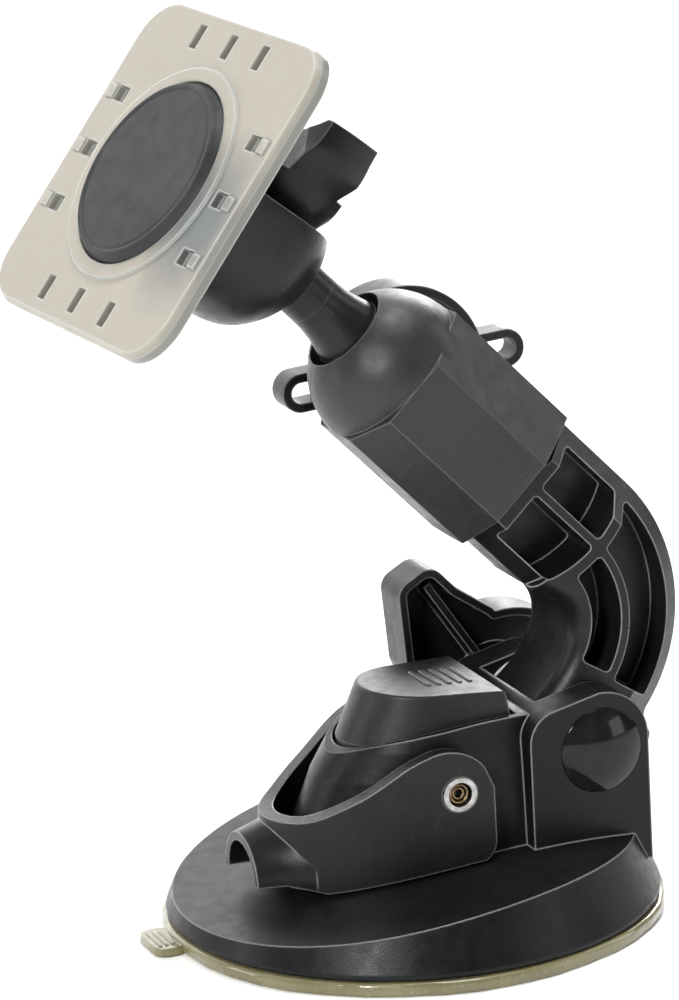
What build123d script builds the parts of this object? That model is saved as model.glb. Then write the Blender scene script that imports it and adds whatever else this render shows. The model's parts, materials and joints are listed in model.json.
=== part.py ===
"""Car phone mount: a suction base with a lock lever, a tilting ribbed arm, a ball-and-socket neck and a clip plate.

Millimetres. +Z is up, -X is the lever's side, +X the arm's pivot, +Y the side of the three clamp knobs.
The origin is the middle of the suction face.
"""

import math
import os

from build123d import *

os.makedirs("parts", exist_ok=True)

# ---------------------------------------------------------------- base disc and suction cup
DISC_R = 43.0            # rim radius where the shell meets the gel pad
RIM_Z = 2.4              # thickness of the gel pad under the shell
DRAFT = 0.43             # the rim band leans in by this much per mm of height
BAND_H = 12.2            # height of the rim band before the crown cuts it
RIM_ROUND = 0.9
WALL = 2.4               # the shell's wall
GEL_R = 43.5
CUP_R = 39.6
TAB_REACH = 47.6         # pull tab's end, from the axis
TAB_AT = 43.2
TAB_WIDTH = 11.5
TAB_T = 1.3
CROWN = [(-46, 5.3), (-33, 7.0), (-17, 9.6), (0, 12.1), (14, 13.2), (30, 13.1), (46, 11.4)]

# ---------------------------------------------------------------- tower, button and lever
TOWER_BACK = 17.0
TOWER_LEVELS = [          # height, start of the nose, nose, half width
    (5.0, 6, -24.2, 15.4),
    (13.0, 6, -22.6, 15.3),
    (20.0, 6, -20.3, 15.1),
    (27.0, 5, -17.0, 14.8),
    (32.0, 4, -13.4, 14.5),
    (37.0, 4, -9.0, 14.1),
]
TOWER_TOP = [(-16, 29.6), (-12, 31.9), (-6, 33.8), (2, 35.2), (12, 35.9), (22, 35.9)]
DECK_Z = 13.4            # floor inside the tower
SPACE_BACK = 14.9        # back of the hollow inside the tower
OPENING_Z = 29.4         # where the hollow widens into the button's opening
POST_X = 10.0            # spring posts under the button
POST_Y = 7.0
POST_R = 2.3
POST_TOP = 26.0
BUTTON_FLOOR = 30.2
BUTTON_SHOULDER = 32.5   # the button's sides lean in from here up
BUTTON_BACK = 14.8
BUTTON_NOSE = -12.1
LEVER_AXIS = (1.8, 25.6)  # x, z of the lever pin
LEVER_HALF = 19.3
LEVER_BACK = 8.0
LEVER_WALL = 2.7
RIM_LINE = [(-24.6, 21.6), (-22.4, 22.0), (-18, 24.0), (-12.8, 26.9), (-7, 30.8), (-3.4, 32.5)]
SPOUT = [(-31.0, 7.6, 7.4), (-26.5, 8.6, 8.8), (-21.5, 11.0, 10.4)]  # x, half width, half height
SPOUT_MIDDLE = 11.6      # height of the finger spout's axis
SPOUT_HOLLOW = [(-32.0, 6.4, 5.9), (-24.6, 6.0, 5.2)]
UNDERCUT = [(-40, 0), (-40, 11.5), (-26.0, 11.2), (-19.0, 9.4), (-19.0, 0)]
PIN_R = 3.0
RUNNING = 0.05           # radial clearance of a shaft in its hole
CAM_R = 6.0
CAM_THROW = 2.2
CAM_PHASE = 60.0         # degrees from vertical, towards +X, with the lever down
CAM_HALF = 4.0
STUD_X = 3.8
STUD_R = 4.0

# ---------------------------------------------------------------- pivot and arm
PIVOT = (28.2, 28.8)     # x, z of the tilt bolt
LUG_IN = 11.5
LUG_OUT = 18.5
BOLT_R = 3.0
ARM_HALF = 11.0
HUB_GAP = 12.0           # radius cleared round the arm's hub
SADDLE_DROP = 15.6       # the saddle's floor below the pivot
HEEL_ROOM = (8.5, 14.6)  # room in front of the pivot for the arm's heel, along and down
BOLT_HEX_R = 5.5
BOLT_END = 27.4
NUT_R = 5.2
CAP_R = 7.6
CAP_RISE = 2.2
CAP_DOME_R = 13.7
TILT_KNOB_R = 15.3
TILT_NEAR = 19.7
TILT_FAR = 29.0
TILT_WALL = 1.5
EAR_OUTLINE = [(14.0, 23.6), (8.9, 36.0), (7.9, 50.6), (14.4, 54.2), (19.0, 49.2), (25.8, 44.4), (36, 28.8)]
EAR_ROUND = 3.2
BEND = (17.5, 49.5)      # centre of the arm's bend
BEND_OUT = 31.5
BEND_IN = 13.4
FLANGE = 2.7
WEB = 3.2
HUB_R = 11.8
ARM_LOW = -11.8          # inner face of the arm's straight end, across the sleeve
ARM_START = 12.6         # the arm's end inside the sleeve, from the dome's centre
ARM_INSERT = 11.5        # outer face of the part inside the sleeve
ARM_SHOULDER = 28.1      # where the arm steps out to its full depth, just past the sleeve
ARM_CORNER = 41.0        # where the straight end meets the bend on the inside
POCKET_START = 30.0
MID_RIB = 19.6
RIB_T = 1.6
RIB_ARC_R = 20.8         # the cross rib between straight end and bend
RIB_ARC_S = 23.9
NOSE_ROUND = 4.0
POCKET_ROUND = 0.8

# ---------------------------------------------------------------- socket sleeve, neck and head
DOME_CENTRE = (0.9, 0, 94.6)
SLEEVE_LEAN = 46.9       # degrees the sleeve's axis falls below horizontal, towards +X
DOME_R = 13.98
BALL_R = 7.5
SEAT_R = 9.5
NECK_R = 4.8
NECK_LENGTH = 36.8       # ball centre to ball centre
SOCKET_MOUTH_R = 7.7
SECTION = [(-13.8, 0), (-13.8, 6.5), (-7.8, 14.0), (4.5, 14.0), (13.9, 6.5), (13.9, 0)]
SLEEVE_START = -0.8
SLEEVE_END = 27.9
SLEEVE_WALL = 1.9
END_ARC_R = 60.0
SLEEVE_SCREWS = [(-9.0, 8.6, 9.4), (11.2, 4.5, 6.6)]  # across, along, height of the head's seat
SLEEVE_SCREW_R = 1.25
SLEEVE_HEAD_R = 2.3
SLEEVE_SCREW_TIP = 6.0
SCREW_R = 1.5
CLAMP_AT = (3.5, 8.7)    # clamp screw's place across and along the sleeve
CLAMP_HEX_R = 3.1
CLAMP_HEAD_Y = 9.0
CLAMP_HEAD_T = 2.2
CLAMP_END = 22.0
BOSS_R = 5.8
BOSS_Y = 14.3
SLEEVE_KNOB_R = 14.8
SLEEVE_KNOB_WALL = 1.6
KNOB_NEAR = 14.9
KNOB_FAR = 24.0
EAR_TURN = math.radians(4)
EAR_REACH = 22.4
EAR_WIDTH = 6.8
EAR_SLOT = 3.6
EAR_T = 5.2
COLLAR = [(19.5, 4.82), (16.0, 5.05), (12.9, 5.75), (10.8, 6.4)]  # before the dome's centre, radius
SEAT_LOW = 5.0
SEAT_HIGH = 5.4
HEAD_NORMAL = Vector(-0.774, -0.138, 0.619).normalized()
HEAD_ASIDE = Vector(0.138, -0.989, -0.048)
HEAD_DEPTH = 20.0        # plate's front face to the head's ball centre
PLATE = 57.6
PLATE_T = 2.8
PLATE_CORNER = 8.2
LIP_R = 19.4
LIP_RISE = 0.5
PAD_R = 16.8
PAD_SINK = 0.8
PAD_PROUD = 1.9
PAD_BEVEL = 1.4
DEPTHS = [(17.5, PLATE_T), (16.2, 8.0), (15.5, 17.0), (15.4, 20.0), (14.5, 24.7), (12.4, 27.9), (9.5, 30.6)]
HEAD_CUT = 6.0           # the flat under the knob, above the ball
HEAD_MOUTH_R = 8.6
STUD_SCREW_R = 3.0
KNOB_FOOT = 6.3
KNOB_TOP = 21.8
WING_HALF = 16.2
FLARE = [(9.9, 6.3), (11.1, 8.6), (13.1, 12.2), (15.5, 15.4), (WING_HALF, 18.0)]
DISH = [(5.3, 24.0), (5.4, 18.0), (6.5, 14.0), (8.4, 10.8), (11.5, 7.5)]
DISH_R = 62.0
DISH_HALF = 4.4
SADDLE_R = 24.0
SADDLE_LOW = 17.4
PLATE_SCREW_PCR = 12.0
PLATE_SCREW_R = 1.1
NOTCH_PITCH = 10.5
SIDE_NOTCHES = (22.6, 3.6, 2.8)   # middle from the plate's axis, length outwards, width
END_NOTCHES = (23.9, 4.4, 2.4)

lean = math.radians(SLEEVE_LEAN)
dome = Vector(*DOME_CENTRE)
along = Vector(math.cos(lean), 0, -math.sin(lean))
across = Vector(math.sin(lean), 0, math.cos(lean))
sleeve_frame = Plane(origin=dome, x_dir=across, z_dir=along)
head_ball = dome - along * NECK_LENGTH
neck_frame = Plane(origin=head_ball, x_dir=across, z_dir=along)
plate_centre = head_ball + HEAD_NORMAL * HEAD_DEPTH
head_up = HEAD_NORMAL.cross(HEAD_ASIDE).normalized()
head_right = head_up.cross(HEAD_NORMAL)
head_frame = Plane(origin=plate_centre, x_dir=head_right, z_dir=HEAD_NORMAL)
ball_in_head = Plane(origin=head_ball, x_dir=head_right, z_dir=HEAD_NORMAL)
knob_in_head = Plane(origin=head_ball, x_dir=head_right, z_dir=head_up)
pivot_frame = Plane(origin=(PIVOT[0], 0, PIVOT[1]), x_dir=(1, 0, 0), z_dir=(0, 1, 0))
lever_frame = Plane(origin=(LEVER_AXIS[0], 0, LEVER_AXIS[1]), x_dir=(1, 0, 0), z_dir=(0, 1, 0))


def finish(part, name):
    part.label = name
    export_step(part, f"parts/{name}.step")


def side_slab(points, half, curve=None):
    """A slab across Y whose outline in XZ is the points, the first stretch a spline through `curve`."""
    with BuildPart() as slab:
        with BuildSketch(Plane.XZ):
            with BuildLine():
                if curve:
                    Spline(*curve)
                    Polyline(curve[-1], *points, curve[0])
                else:
                    Polyline(*points, points[0])
            make_face()
        extrude(amount=half, both=True)
    return slab.part


def nosed(back, start, nose, half, back_half=None):
    """Plan outline: straight back and sides, then an elliptical nose that reaches x = nose."""
    back_half = back_half or half
    with BuildSketch(Plane.XY) as plan:
        with BuildLine():
            EllipticalCenterArc((start, 0), start - nose, half, start_angle=90, arc_size=180)
            Polyline((start, -half), (back, -back_half), (back, back_half), (start, half))
        make_face()
    return plan.sketch


def nosed_body(levels):
    """Loft through (z, back, start, nose, half, back_half) plan outlines."""
    with BuildPart() as body:
        for level in levels:
            with BuildSketch(Plane.XY.offset(level[0])):
                add(nosed(*level[1:]))
        loft(ruled=True)
    return body.part


def ball_ring(frame, inner, outer, low, high):
    """A friction seat: the part of a hollow ball between two planes across its axis."""
    with BuildPart() as ring:
        with Locations(frame):
            Sphere(outer)
            Sphere(inner, mode=Mode.SUBTRACT)
        with BuildSketch(frame.offset(low)):
            Circle(outer + 1)
        extrude(amount=high - low, mode=Mode.INTERSECT)
    return ring.part


def coil(frame, radius, wire, height, turns):
    """A compression spring that stands on the frame's XY plane."""
    rise = height - wire
    with BuildPart() as spring:
        with BuildLine(frame.offset(wire / 2)) as path:
            Helix(pitch=rise / turns, height=rise, radius=radius)
        with BuildSketch(Plane(origin=path.line @ 0, z_dir=path.line % 0)):
            Circle(wire / 2)
        sweep(is_frenet=True)
    return spring.part


# ================================================================ base shell
crown_block = side_slab([(46, 0), (-46, 0)], 46, CROWN)
lowered = [(x, z - WALL) for x, z in CROWN]
under_crown = side_slab([(46, 0), (-46, 0)], 46, lowered)

with BuildPart() as under_space:
    with BuildSketch(Plane.XZ):
        with BuildLine():
            Polyline((0, 0), (40.2, 0), (40.2, RIM_Z + 2), (36.0, 14), (0, 14), (0, 0))
        make_face()
    revolve(axis=Axis.Z)
    add(under_crown, mode=Mode.INTERSECT)

tower_block = nosed_body([(z, TOWER_BACK, start, nose, half) for z, start, nose, half in TOWER_LEVELS])
tower_space = nosed_body([
    (DECK_Z, SPACE_BACK, 4, -19.4, 12.9),
    (20.0, SPACE_BACK, 4, -17.6, 12.9),
    (OPENING_Z + 0.1, SPACE_BACK, 4, -12.9, 12.7),
])
with BuildPart() as button_opening:
    with BuildSketch(Plane.XY.offset(OPENING_Z)):
        add(nosed(BUTTON_BACK + 0.5, 4, BUTTON_NOSE - 0.5, 12.6, 13.1))
    extrude(amount=10)

with BuildPart() as base_shell:
    with BuildSketch(Plane.XZ):
        with BuildLine():
            Polyline((0, RIM_Z), (DISC_R, RIM_Z), (DISC_R - DRAFT * BAND_H, RIM_Z + BAND_H), (0, RIM_Z + BAND_H),
                     (0, RIM_Z))
        make_face()
    revolve(axis=Axis.Z)
    add(crown_block, mode=Mode.INTERSECT)
    rim = base_shell.edges().filter_by(lambda e: e.length > 200).sort_by(Axis.Z)[-1]
    fillet(rim, RIM_ROUND)
    add(tower_block)
    add(side_slab([(30, 50), (-30, 50)], 30, TOWER_TOP), mode=Mode.SUBTRACT)
    with BuildSketch(Plane.XZ):
        with BuildLine():
            Polyline((15.2, 8), (15.2, 31.5))
            RadiusArc((15.2, 31.5), (19.6, 37.0), 5.6)
            Line((19.6, 37.0), (28.2, 38.9))
            RadiusArc((28.2, 38.9), (37.0, 30.5), 8.6)
            Polyline((37.0, 30.5), (37.0, 8), (15.2, 8))
        make_face()
    extrude(amount=LUG_OUT, both=True)
    with BuildSketch(pivot_frame.offset(-LUG_IN)):
        Circle(HUB_GAP)
        with Locations((14, (SADDLE_DROP - HUB_GAP) / 2)):
            Rectangle(28, HUB_GAP + SADDLE_DROP)
        with Locations((-HEEL_ROOM[0] / 2, HEEL_ROOM[1] / 2)):
            Rectangle(*HEEL_ROOM)
    extrude(amount=2 * LUG_IN, mode=Mode.SUBTRACT)
    add(under_space.part, mode=Mode.SUBTRACT)
    add(tower_space, mode=Mode.SUBTRACT)
    add(button_opening.part, mode=Mode.SUBTRACT)
    with BuildSketch(Plane.XY.offset(DECK_Z - 2)):
        with Locations((POST_X, POST_Y), (POST_X, -POST_Y)):
            Circle(POST_R)
    extrude(amount=POST_TOP - DECK_Z + 2)
    with Locations((STUD_X, 0, 10)):
        Cylinder(STUD_R + RUNNING, 20, mode=Mode.SUBTRACT)
    with BuildSketch(lever_frame.offset(-30)):
        Circle(PIN_R + RUNNING)
    extrude(amount=60, mode=Mode.SUBTRACT)
    with BuildSketch(pivot_frame.offset(-30)):
        Circle(BOLT_R + RUNNING)
    extrude(amount=60, mode=Mode.SUBTRACT)
    with BuildSketch(pivot_frame.offset(-LUG_OUT)):
        Circle(6.2)
    extrude(amount=3.4, mode=Mode.SUBTRACT)
finish(base_shell.part, "base_shell")

# ================================================================ suction cup and gel pad
with BuildPart() as gel_pad:
    with BuildSketch(Plane.XZ):
        with BuildLine():
            Polyline((0, RIM_Z), (GEL_R - 0.6, RIM_Z), (GEL_R, RIM_Z - 0.8), (GEL_R, 0.5), (GEL_R - 0.5, 0),
                     (0, 0), (0, RIM_Z))
        make_face()
    revolve(axis=Axis.Z)
    with BuildSketch(Plane.XY.offset(0.3)):
        with Locations((-TAB_AT, 3.4)):
            RectangleRounded(2 * (TAB_REACH - TAB_AT), TAB_WIDTH, 2.4)
    extrude(amount=TAB_T)
finish(gel_pad.part, "gel_pad")

with BuildPart() as suction_cup:
    with BuildSketch(Plane.XZ):
        with BuildLine():
            Polyline((0, RIM_Z), (CUP_R, RIM_Z), (CUP_R, RIM_Z + 1.0), (14, RIM_Z + 1.4), (0, RIM_Z + 1.4), (0, RIM_Z))
        make_face()
    revolve(axis=Axis.Z)
finish(suction_cup.part, "suction_cup")

# ================================================================ stud, cam and springs
FOOT_Z = RIM_Z + 1.5
FOOT_TOP = FOOT_Z + 1.6
cam_turn = math.radians(CAM_PHASE)
cam_x = LEVER_AXIS[0] + CAM_THROW * math.sin(cam_turn)
cam_z = LEVER_AXIS[1] + CAM_THROW * math.cos(cam_turn)
YOKE_TOP = cam_z + CAM_R + 0.1
YOKE_LOW = cam_z - CAM_R - 0.2
YOKE_HALF = 6.6

with BuildPart() as cup_stud:
    with BuildSketch(Plane.XY.offset(FOOT_Z)):
        with Locations((STUD_X, 0)):
            Circle(12)
    extrude(amount=FOOT_TOP - FOOT_Z)
    with BuildSketch(Plane.XY.offset(FOOT_TOP)):
        with Locations((STUD_X, 0)):
            Circle(STUD_R)
    extrude(amount=YOKE_LOW - 2 - FOOT_TOP)
    with BuildSketch(Plane.XZ):
        with Locations((STUD_X, (YOKE_TOP + YOKE_LOW) / 2)):
            RectangleRounded(2 * (YOKE_HALF + 2), YOKE_TOP - YOKE_LOW + 4, 1.5)
            Rectangle(2 * YOKE_HALF, YOKE_TOP - YOKE_LOW, mode=Mode.SUBTRACT)
    extrude(amount=CAM_HALF, both=True)
finish(cup_stud.part, "cup_stud")

with BuildPart() as lever_cam:
    with BuildSketch(Plane.XZ):
        with Locations((cam_x, cam_z)):
            Circle(CAM_R)
        with Locations(LEVER_AXIS):
            Circle(PIN_R, mode=Mode.SUBTRACT)
    extrude(amount=CAM_HALF - 0.3, both=True)
finish(lever_cam.part, "lever_cam")

with BuildPart() as lever_pin:
    with BuildSketch(Plane.XZ):
        with Locations(LEVER_AXIS):
            Circle(PIN_R)
            Circle(PIN_R - 0.9, mode=Mode.SUBTRACT)
    extrude(amount=LEVER_HALF - 0.1, both=True)
finish(lever_pin.part, "lever_pin")

cup_spring = coil(Plane(origin=(STUD_X, 0, FOOT_TOP)), 6.2, 1.1, 3.9, 2.5)
finish(cup_spring, "cup_spring")

# ================================================================ lock lever
lever_outer = nosed_body([
    (7.0, LEVER_BACK, 7.9, -28.0, LEVER_HALF),
    (20.0, LEVER_BACK, 7.9, -26.9, LEVER_HALF),
    (34.0, LEVER_BACK, 7.9, -25.0, LEVER_HALF),
])
lever_inner = nosed_body([
    (6.0, LEVER_BACK + 1, 7.9, -25.4, LEVER_HALF - LEVER_WALL),
    (20.0, LEVER_BACK + 1, 7.9, -24.3, LEVER_HALF - LEVER_WALL),
    (35.0, LEVER_BACK + 1, 7.9, -22.4, LEVER_HALF - LEVER_WALL),
])
raised = [(x, z + 0.6) for x, z in CROWN]
over_crown = side_slab([(46, 60), (-46, 60)], 46, raised)

with BuildPart() as lever_side:
    with BuildSketch(Plane.XZ):
        with BuildLine():
            Spline((-34, 21.4), *RIM_LINE, tangents=[(1, 0), (0.9, 0.35)])
            ThreePointArc(RIM_LINE[-1], (2.0, 32.9), (6.4, 29.8))
            Polyline((6.4, 29.8), (LEVER_BACK, 26.0), (LEVER_BACK, 16.4))
            RadiusArc((LEVER_BACK, 16.4), (4.2, 12.8), 4.0)
            Polyline((4.2, 12.8), (0, 6), (-34, 6), (-34, 21.4))
        make_face()
    extrude(amount=24, both=True)

with BuildPart() as spout:
    for x, half_width, half_height in SPOUT:
        with BuildSketch(Plane.YZ.offset(x)):
            with Locations((0, SPOUT_MIDDLE)):
                Ellipse(half_width, half_height)
    loft()
with BuildPart() as spout_hollow:
    for x, half_width, half_height in SPOUT_HOLLOW:
        with BuildSketch(Plane.YZ.offset(x)):
            with Locations((0, SPOUT_MIDDLE)):
                Ellipse(half_width, half_height)
    loft()
with BuildPart() as undercut:
    with BuildSketch(Plane.XZ):
        with BuildLine():
            Polyline(*UNDERCUT, UNDERCUT[0])
        make_face()
    extrude(amount=24, both=True)

with BuildPart() as lock_lever:
    add(lever_outer)
    add(spout.part)
    add(lever_inner, mode=Mode.SUBTRACT)
    add(spout_hollow.part, mode=Mode.SUBTRACT)
    add(lever_side.part, mode=Mode.INTERSECT)
    add(over_crown, mode=Mode.INTERSECT)
    add(undercut.part, mode=Mode.SUBTRACT)
    with BuildSketch(lever_frame.offset(-30)):
        Circle(PIN_R)
    extrude(amount=60, mode=Mode.SUBTRACT)
finish(lock_lever.part, "lock_lever")

# ================================================================ press button and its spring
with BuildPart() as button_outer:
    with BuildSketch(Plane.XY.offset(BUTTON_FLOOR)):
        add(nosed(BUTTON_BACK, 4, BUTTON_NOSE, 12.1, 12.6))
    extrude(amount=BUTTON_SHOULDER - BUTTON_FLOOR)
    with BuildSketch(Plane.XY.offset(BUTTON_SHOULDER)):
        add(nosed(BUTTON_BACK, 4, BUTTON_NOSE, 12.1, 12.6))
    with BuildSketch(Plane.XY.offset(43.0)):
        add(nosed(13.4, 2.5, -6.9, 9.9, 11.8))
    loft(ruled=True)
with BuildPart() as button_inner:
    with BuildSketch(Plane.XY.offset(BUTTON_FLOOR - 1)):
        add(nosed(13.0, 4, -10.3, 10.3, 10.8))
    with BuildSketch(Plane.XY.offset(38.2)):
        add(nosed(12.0, 3, -7.4, 8.6, 9.8))
    loft(ruled=True)

with BuildPart() as press_button:
    add(button_outer.part)
    add(side_slab([(-20, 41.8), (20, 39.5), (30, 50), (-30, 50)], 30), mode=Mode.SUBTRACT)
    top_rim = press_button.faces().sort_by(Axis.Z)[-1].edges()
    fillet(top_rim, 0.5)
    add(button_inner.part, mode=Mode.SUBTRACT)
finish(press_button.part, "press_button")

with BuildPart() as button_springs:
    for side in (-1, 1):
        add(coil(Plane(origin=(POST_X, side * POST_Y, POST_TOP)), 1.6, 0.5, 12.1, 8))
finish(button_springs.part, "button_springs")

# ================================================================ pivot hardware
with BuildPart() as pivot_bolt:
    with BuildSketch(pivot_frame.offset(-LUG_OUT + 0.1)):
        RegularPolygon(BOLT_HEX_R, 6)
    extrude(amount=3.2)
    with BuildSketch(pivot_frame.offset(-LUG_OUT + 0.1)):
        Circle(BOLT_R)
    extrude(amount=LUG_OUT + BOLT_END)
finish(pivot_bolt.part, "pivot_bolt")

with BuildPart() as bolt_cap:
    with BuildSketch(pivot_frame.offset(-LUG_OUT - CAP_RISE)):
        Circle(CAP_R)
    extrude(amount=CAP_RISE)
    with Locations((PIVOT[0], CAP_DOME_R - LUG_OUT - CAP_RISE, PIVOT[1])):
        Sphere(CAP_DOME_R, mode=Mode.INTERSECT)
finish(bolt_cap.part, "bolt_cap")

with BuildPart() as pivot_washers:
    for start in (-LUG_IN + 0.05, ARM_HALF + 0.05):
        with BuildSketch(pivot_frame.offset(start)):
            Circle(9)
            Circle(BOLT_R + 0.1, mode=Mode.SUBTRACT)
        extrude(amount=0.4)
finish(pivot_washers.part, "pivot_washers")


# ================================================================ arm
def on_sleeve(t, s):
    """x, z of a point t across and s along the sleeve."""
    spot = dome + across * t + along * s
    return (spot.X, spot.Z)


bend = Vector(BEND[0], 0, BEND[1])
bend_t = (bend - dome).dot(across)
bend_s = (bend - dome).dot(along)
ARM_TOP = bend_t + BEND_OUT
MID_T = bend_t + MID_RIB


def arm_outline():
    """The arm's side outline: a straight end, a bend and a round hub at the pivot."""
    start_in = on_sleeve(ARM_LOW, ARM_START)
    start_out = on_sleeve(ARM_INSERT, ARM_START)
    corner = on_sleeve(ARM_LOW, ARM_CORNER)
    hub_front = (PIVOT[0] - 10.6, PIVOT[1] + 2.6)
    with BuildSketch() as outline:
        with BuildLine():
            Line(start_in, start_out)
            Polyline(start_out, on_sleeve(ARM_INSERT, ARM_SHOULDER), on_sleeve(ARM_TOP, ARM_SHOULDER),
                     on_sleeve(ARM_TOP, bend_s))
            back = CenterArc(BEND, BEND_OUT, 90 - SLEEVE_LEAN, -80.5)
            ThreePointArc(back @ 1, (PIVOT[0] + 1.8, PIVOT[1] - HUB_R), hub_front)
            Spline(hub_front, (22.6, 37.6), (26.6, 42.8), (27.9, 47.4), (26.4, 51.8), corner,
                   tangents=[(0.25, 1), (-along.X, -along.Z)])
            Line(corner, start_in)
        make_face()
    return outline.sketch


def pocket(outline, floor):
    """A pocket on both sides of the arm, from the side faces down to `floor` from the middle."""
    with BuildPart() as cut:
        for side in (-1, 1):
            with BuildSketch(Plane(origin=(0, side * floor, 0), x_dir=(1, 0, 0), z_dir=(0, -1, 0))):
                add(outline)
            extrude(amount=-side * 20)
    return cut.part


def straight_pocket(low, high):
    """Outline of a pocket in the straight end, from the sleeve to the curved cross rib."""
    with BuildSketch() as outline:
        with BuildLine():
            corners = [on_sleeve(low, POCKET_START), on_sleeve(high, POCKET_START),
                       on_sleeve(high, 50), on_sleeve(low, 50)]
            Polyline(*corners, corners[0])
        make_face()
        with Locations(on_sleeve(MID_T, RIB_ARC_S)):
            Circle(RIB_ARC_R, mode=Mode.INTERSECT)
        fillet(outline.vertices(), POCKET_ROUND)
    return outline.sketch


def bend_pocket(inner, outer, start, stop):
    """Outline of a pocket in the bend, between two radii, from the cross rib to an angle in degrees."""
    with BuildSketch() as outline:
        with BuildLine():
            one = CenterArc(BEND, outer, start, stop - start)
            two = CenterArc(BEND, inner, start, stop - start)
            Line(one @ 0, two @ 0)
            Line(one @ 1, two @ 1)
        make_face()
        with Locations(on_sleeve(MID_T, RIB_ARC_S)):
            Circle(RIB_ARC_R + 2.1, mode=Mode.SUBTRACT)
        fillet(outline.vertices(), POCKET_ROUND)
    return outline.sketch


def corner_cut(edge, face, start, stop):
    """A wedge that takes one long corner off the straight end, on both sides of the arm."""
    with BuildPart() as wedge:
        for side in (-1, 1):
            with BuildSketch(sleeve_frame.offset(start)):
                with BuildLine():
                    Polyline((edge[0], side * edge[1]), (face[0], side * face[1]),
                             (edge[0] * 1.4, side * face[1] * 1.4), (edge[0], side * edge[1]))
                make_face()
            extrude(amount=stop - start)
    return wedge.part


with BuildPart() as bend_bevel:
    for side in (-1, 1):
        with BuildSketch(Plane(origin=(BEND[0], 0, BEND[1]), x_dir=across, z_dir=Vector(0, 1, 0).cross(across))):
            with BuildLine():
                Polyline((BEND_OUT, side * 5.8), (BEND_OUT - 6.5, side * 11), (BEND_OUT + 2, side * 13),
                         (BEND_OUT + 2, side * 4), (BEND_OUT, side * 5.8))
            make_face()
        revolve(axis=Axis((BEND[0], 0, BEND[1]), (0, 1, 0)), revolution_arc=96)

with BuildPart() as arm:
    with BuildSketch(Plane.XZ):
        add(arm_outline())
    extrude(amount=ARM_HALF, both=True)
    front = arm.edges().filter_by(
        lambda e: abs(abs(e.center().Y) - ARM_HALF) < 0.01 and e.center().X < 27.5 and 36 < e.center().Z < 52)
    fillet(front, NOSE_ROUND)
    add(corner_cut((ARM_INSERT + 0.01, 5.75), (4.95, 11.01), ARM_START - 1, ARM_SHOULDER), mode=Mode.SUBTRACT)
    add(corner_cut((ARM_TOP + 0.01, 5.8), (ARM_TOP - 6.5, 11.01), ARM_SHOULDER, bend_s), mode=Mode.SUBTRACT)
    add(corner_cut((-11.81, 5.7), (-7.5, 11.01), ARM_START - 1, ARM_CORNER + 1), mode=Mode.SUBTRACT)
    add(bend_bevel.part, mode=Mode.SUBTRACT)
    for cut in (
        straight_pocket(MID_T + RIB_T / 2, ARM_TOP - FLANGE),
        straight_pocket(ARM_LOW + FLANGE, MID_T - RIB_T / 2),
        bend_pocket(MID_RIB + RIB_T / 2, BEND_OUT - FLANGE, 62.0, -34.0),
        bend_pocket(BEND_IN, MID_RIB - RIB_T / 2, 62.0, -32.0),
    ):
        add(pocket(cut, WEB / 2), mode=Mode.SUBTRACT)
    with BuildSketch(pivot_frame.offset(-30)):
        Circle(BOLT_R + RUNNING)
    extrude(amount=60, mode=Mode.SUBTRACT)
finish(arm.part, "arm")

# ================================================================ sleeve halves and their screws
def sleeve_section(shrink=0.0):
    """The sleeve's eight-sided section, or the line of its inner wall."""
    with BuildSketch() as section:
        with BuildLine():
            Polyline(*SECTION, *[(t, -y) for t, y in reversed(SECTION[1:-1])], SECTION[0])
        make_face()
        if shrink:
            offset(amount=-shrink, kind=Kind.INTERSECTION, mode=Mode.REPLACE)
    return section.sketch


with BuildPart() as end_cut:
    with BuildSketch(Plane(origin=dome, x_dir=(0, 1, 0), z_dir=across)):
        with Locations((0, END_ARC_R - SLEEVE_END)):
            Circle(END_ARC_R)
        with Locations((0, 23 + END_ARC_R - SLEEVE_END)):
            Rectangle(2 * END_ARC_R, 46)
    extrude(amount=20, both=True)

with BuildPart() as sleeve_body:
    with BuildSketch(sleeve_frame.offset(SLEEVE_START)):
        add(sleeve_section())
    extrude(amount=SLEEVE_END - SLEEVE_START)
    add(end_cut.part, mode=Mode.INTERSECT)
    with Locations(sleeve_frame):
        Sphere(DOME_R)
    with BuildSketch(Plane.XZ.offset(-BOSS_Y)):
        with Locations(on_sleeve(*CLAMP_AT)):
            Circle(BOSS_R)
    extrude(amount=6)
    with BuildSketch(sleeve_frame.offset(ARM_START - 0.1)):
        add(sleeve_section(SLEEVE_WALL))
    extrude(amount=30, mode=Mode.SUBTRACT)
    with Locations(sleeve_frame):
        Sphere(SEAT_R + RUNNING, mode=Mode.SUBTRACT)
    with BuildSketch(sleeve_frame.offset(-20)):
        Circle(SOCKET_MOUTH_R)
    extrude(amount=16, mode=Mode.SUBTRACT)
    with BuildSketch(Plane.XZ.offset(-30)):
        with Locations(on_sleeve(*CLAMP_AT)):
            Circle(SCREW_R + RUNNING)
    extrude(amount=30 + CLAMP_HEAD_Y, mode=Mode.SUBTRACT)
    with BuildSketch(Plane.XZ.offset(CLAMP_HEAD_Y)):
        with Locations(on_sleeve(*CLAMP_AT)):
            RegularPolygon(CLAMP_HEX_R, 6)
    extrude(amount=CLAMP_HEAD_T, mode=Mode.SUBTRACT)
    for t, s, seat in SLEEVE_SCREWS:
        with BuildSketch(Plane.XZ.offset(-30)):
            with Locations(on_sleeve(t, s)):
                Circle(SLEEVE_SCREW_R)
        extrude(amount=30 + SLEEVE_SCREW_TIP, mode=Mode.SUBTRACT)
        with BuildSketch(Plane.XZ.offset(-30)):
            with Locations(on_sleeve(t, s)):
                Circle(SLEEVE_HEAD_R + 0.2)
        extrude(amount=30 - seat, mode=Mode.SUBTRACT)

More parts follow.
